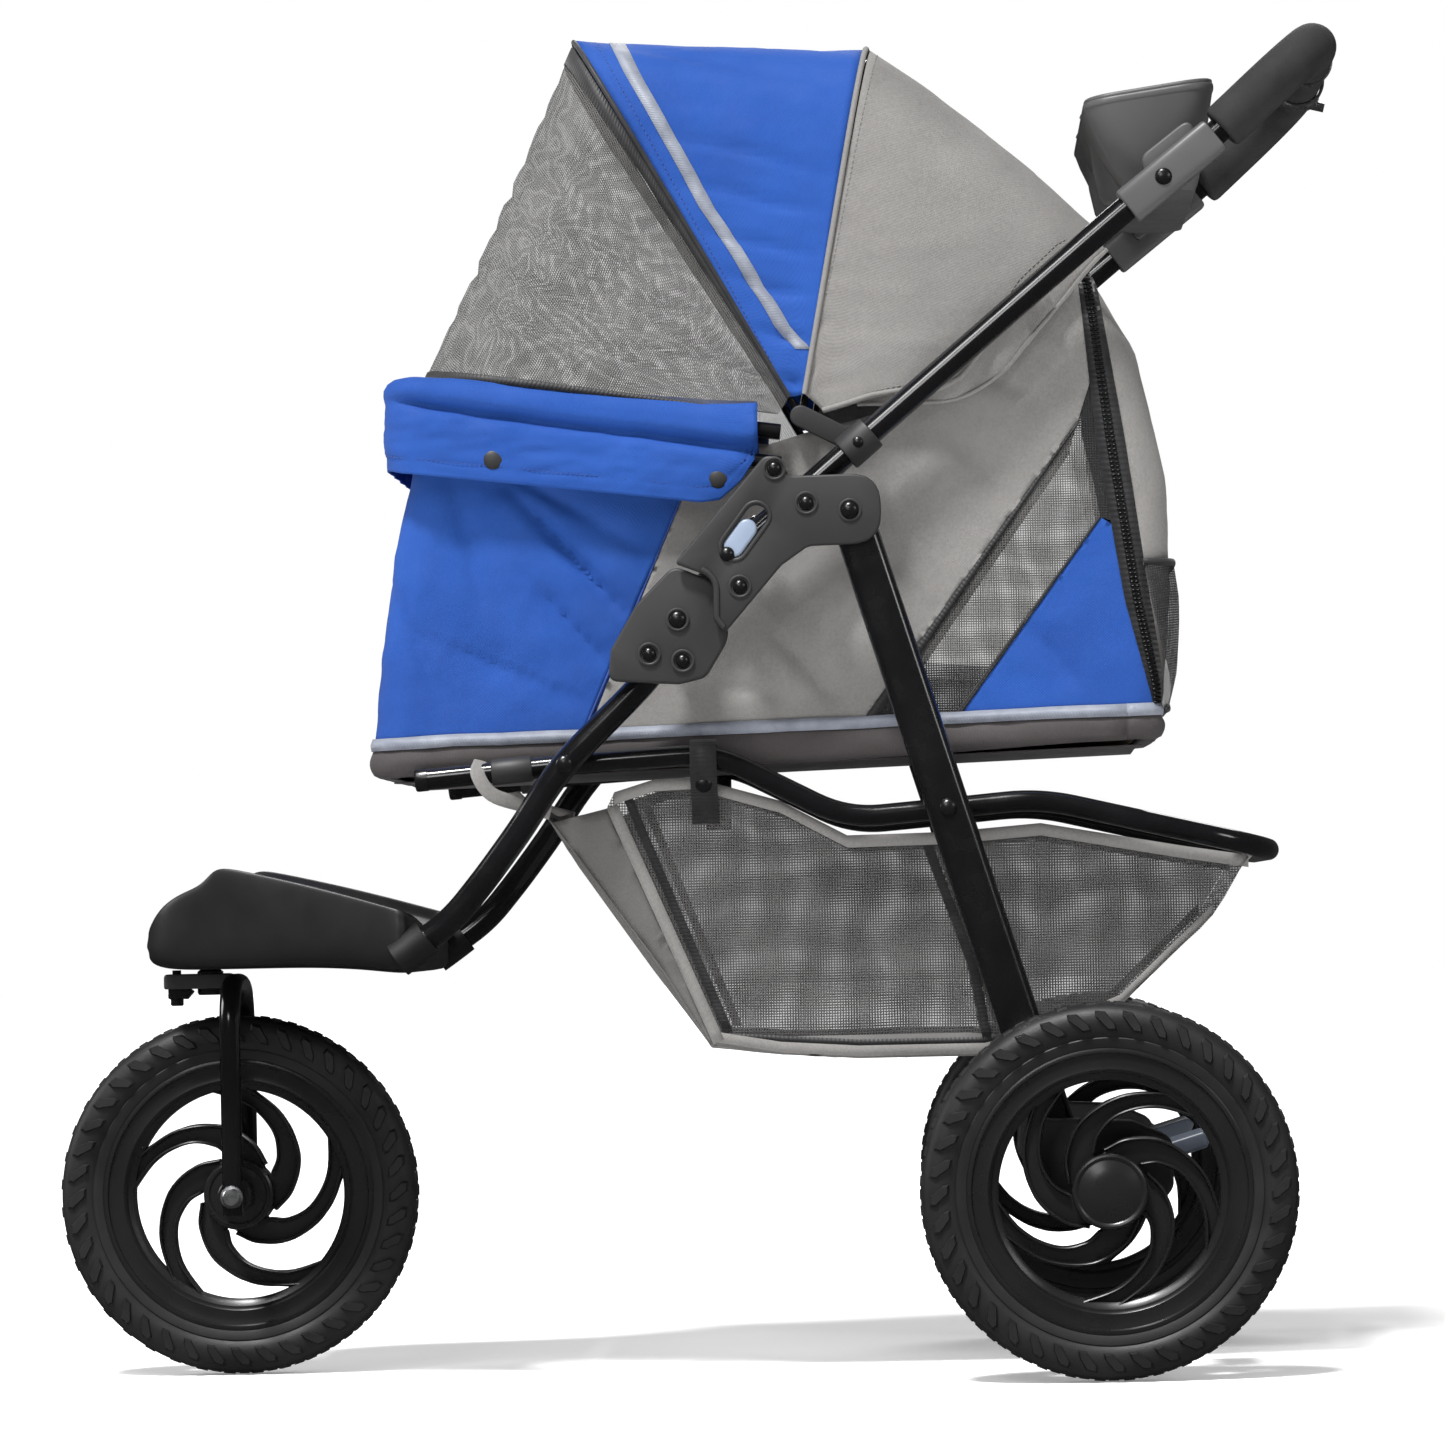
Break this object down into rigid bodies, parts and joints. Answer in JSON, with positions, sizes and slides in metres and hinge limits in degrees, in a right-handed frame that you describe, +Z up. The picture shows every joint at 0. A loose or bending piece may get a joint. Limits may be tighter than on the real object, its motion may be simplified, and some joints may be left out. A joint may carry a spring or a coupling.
{
  "type": "pet stroller",
  "caption": "Three-wheeled folding pet stroller with a fabric cabin, mesh-fronted canopy, under-seat mesh basket, swivel front wheel and foam-covered push handle.",
  "frame": {"origin": "on the ground under the middle of the object's box", "axes": "+X toward the push handle (rear), the front wheel points along -X, +Y toward the stroller's right side, +Z up"},
  "size_m": [0.996, 0.572, 1.0117],
  "materials": {
    "black_tube": "satin black powder coat",
    "black_plastic": "fine-grained moulded plastic",
    "wheel_plastic": "semi-gloss moulded plastic",
    "tyre_foam": "matt foam rubber",
    "bright_steel": "zinc plated",
    "grip_foam": "matt closed-cell foam",
    "pale_grey": "smooth moulded plastic",
    "blue_fabric": "fine woven polyester",
    "grey_fabric": "fine woven polyester",
    "dark_fabric": "coated woven polyester",
    "mesh_fabric": "open mesh",
    "board": "fibreboard"
  },
  "bodies": {
    "front_frame": {"down_tube_left": "black_tube", "down_tube_right": "black_tube", "lower_hinge_plate_left": "black_plastic", "lower_hinge_plate_right": "black_plastic", "fold_pin_left": "black_tube", "fold_pin_right": "black_tube", "rail_pin_left": "black_tube", "rail_pin_right": "black_tube", "footrest": "black_plastic", "swivel_housing": "black_plastic"},
    "swivel_lock": {"swivel_lock_knob": "black_plastic"},
    "fork": {"fork": "black_tube", "front_axle": "bright_steel"},
    "front_wheel": {"front_tyre": "tyre_foam", "front_rim": "wheel_plastic"},
    "rear_wheel_left": {"rear_tyre_left": "tyre_foam", "rear_rim_left": "wheel_plastic", "hub_cap_left": "wheel_plastic"},
    "rear_wheel_right": {"rear_tyre_right": "tyre_foam", "rear_rim_right": "wheel_plastic", "hub_cap_right": "wheel_plastic"},
    "rear_frame": {"rear_leg_left": "black_tube", "rear_leg_right": "black_tube", "rail_bolt_left": "black_tube", "rail_bolt_right": "black_tube", "axle_foot_left": "black_plastic", "axle_foot_right": "black_plastic", "rear_axle": "bright_steel"},
    "brake": {"brake_bar": "pale_grey"},
    "handle": {"handle_tube": "black_tube", "handle_grip": "grip_foam", "cup_tray": "black_plastic", "wrist_clamp": "bright_steel", "upper_hinge_plate_left": "black_plastic", "upper_hinge_plate_right": "black_plastic", "fold_tongue_left": "black_tube", "fold_tongue_right": "black_tube", "handle_collar_left": "black_plastic", "handle_collar_right": "black_plastic", "leg_pin_left": "black_tube", "leg_pin_right": "black_tube", "canopy_rear": "grey_fabric"},
    "latch_left": {"fold_latch_left": "pale_grey"},
    "latch_right": {"fold_latch_right": "pale_grey"},
    "cradle": {"basket_rail": "black_tube", "floor_bar_front": "black_tube", "floor_bar_rear": "black_tube", "floor_board": "board", "floor_pad": "dark_fabric", "cabin_shell": "grey_fabric", "basket": "mesh_fabric"},
    "rim": {"rim_upper_tube": "black_tube", "rim_lower_tube": "black_tube", "front_flap": "blue_fabric"},
    "mid_bow": {"canopy_mid_bow": "black_tube"},
    "front_bow": {"canopy_front_bow": "black_tube", "canopy_mesh": "mesh_fabric", "canopy_front": "blue_fabric"}
  },
  "joints": [
    {"name": "frame_fold", "type": "hinge", "parent": "front_frame", "child": "handle", "pos_m": [-0.0077, 0, 0.562], "axis": [0, 1, 0], "range_deg": [0, 110]},
    {"name": "cradle_fold", "type": "hinge", "parent": "front_frame", "child": "cradle", "pos_m": [-0.0943, 0, 0.4581], "axis": [0, 1, 0], "range_deg": [0, 61.75], "deforming": ["cabin_shell", "basket"]},
    {"name": "rear_fold", "type": "hinge", "parent": "handle", "child": "rear_frame", "pos_m": [0.1211, 0, 0.6393], "axis": [0, 1, 0], "range_deg": [-90.8, 0]},
    {"name": "rim_drop", "type": "slide", "parent": "cradle", "child": "rim", "axis": [0.0288, 0, -0.9996], "range_m": [0, 0.127], "deforming": ["front_flap"]},
    {"name": "canopy_fold", "type": "hinge", "parent": "mid_bow", "child": "front_bow", "pos_m": [0.0856, 0, 0.713], "axis": [0, 1, 0], "range_deg": [0, 34], "deforming": ["canopy_front", "canopy_mesh"]},
    {"name": "canopy_mid", "type": "hinge", "parent": "handle", "child": "mid_bow", "pos_m": [0.0856, 0, 0.713], "axis": [0, 1, 0], "range_deg": [0, 29], "deforming": ["canopy_rear"]},
    {"name": "fork_swivel", "type": "hinge", "parent": "front_frame", "child": "fork", "pos_m": [-0.382, 0, 0.299], "axis": [0, 0, 1], "continuous": true},
    {"name": "front_wheel_spin", "type": "hinge", "parent": "fork", "child": "front_wheel", "pos_m": [-0.362, 0, 0.1375], "axis": [0, 1, 0], "continuous": true},
    {"name": "rear_wheel_left_spin", "type": "hinge", "parent": "rear_frame", "child": "rear_wheel_left", "pos_m": [0.299, -0.262, 0.1375], "axis": [0, 1, 0], "continuous": true},
    {"name": "rear_wheel_right_spin", "type": "hinge", "parent": "rear_frame", "child": "rear_wheel_right", "pos_m": [0.299, 0.262, 0.1375], "axis": [0, 1, 0], "continuous": true},
    {"name": "brake_press", "type": "hinge", "parent": "rear_frame", "child": "brake", "pos_m": [0.334, 0, 0.16], "axis": [0, 1, 0], "range_deg": [0, 25]},
    {"name": "latch_left_slide", "type": "slide", "parent": "handle", "child": "latch_left", "axis": [0.606, 0, 0.7955], "range_m": [0, 0.012], "stiffness_N_per_m": 300},
    {"name": "latch_right_slide", "type": "slide", "parent": "handle", "child": "latch_right", "axis": [0.606, 0, 0.7955], "range_m": [0, 0.012], "stiffness_N_per_m": 300},
    {"name": "swivel_lock_slide", "type": "slide", "parent": "fork", "child": "swivel_lock", "axis": [0, 0, -1], "range_m": [0, 0.008]}
  ],
  "couplings": [
    {"joint": "cradle_fold", "follows": "frame_fold", "ratio": 0.561},
    {"joint": "rear_fold", "follows": "frame_fold", "ratio": -0.825},
    {"joint": "rim_drop", "follows": "frame_fold", "m_per_rad": 0.066},
    {"joint": "canopy_mid", "follows": "canopy_fold", "ratio": 0.85}
  ]
}
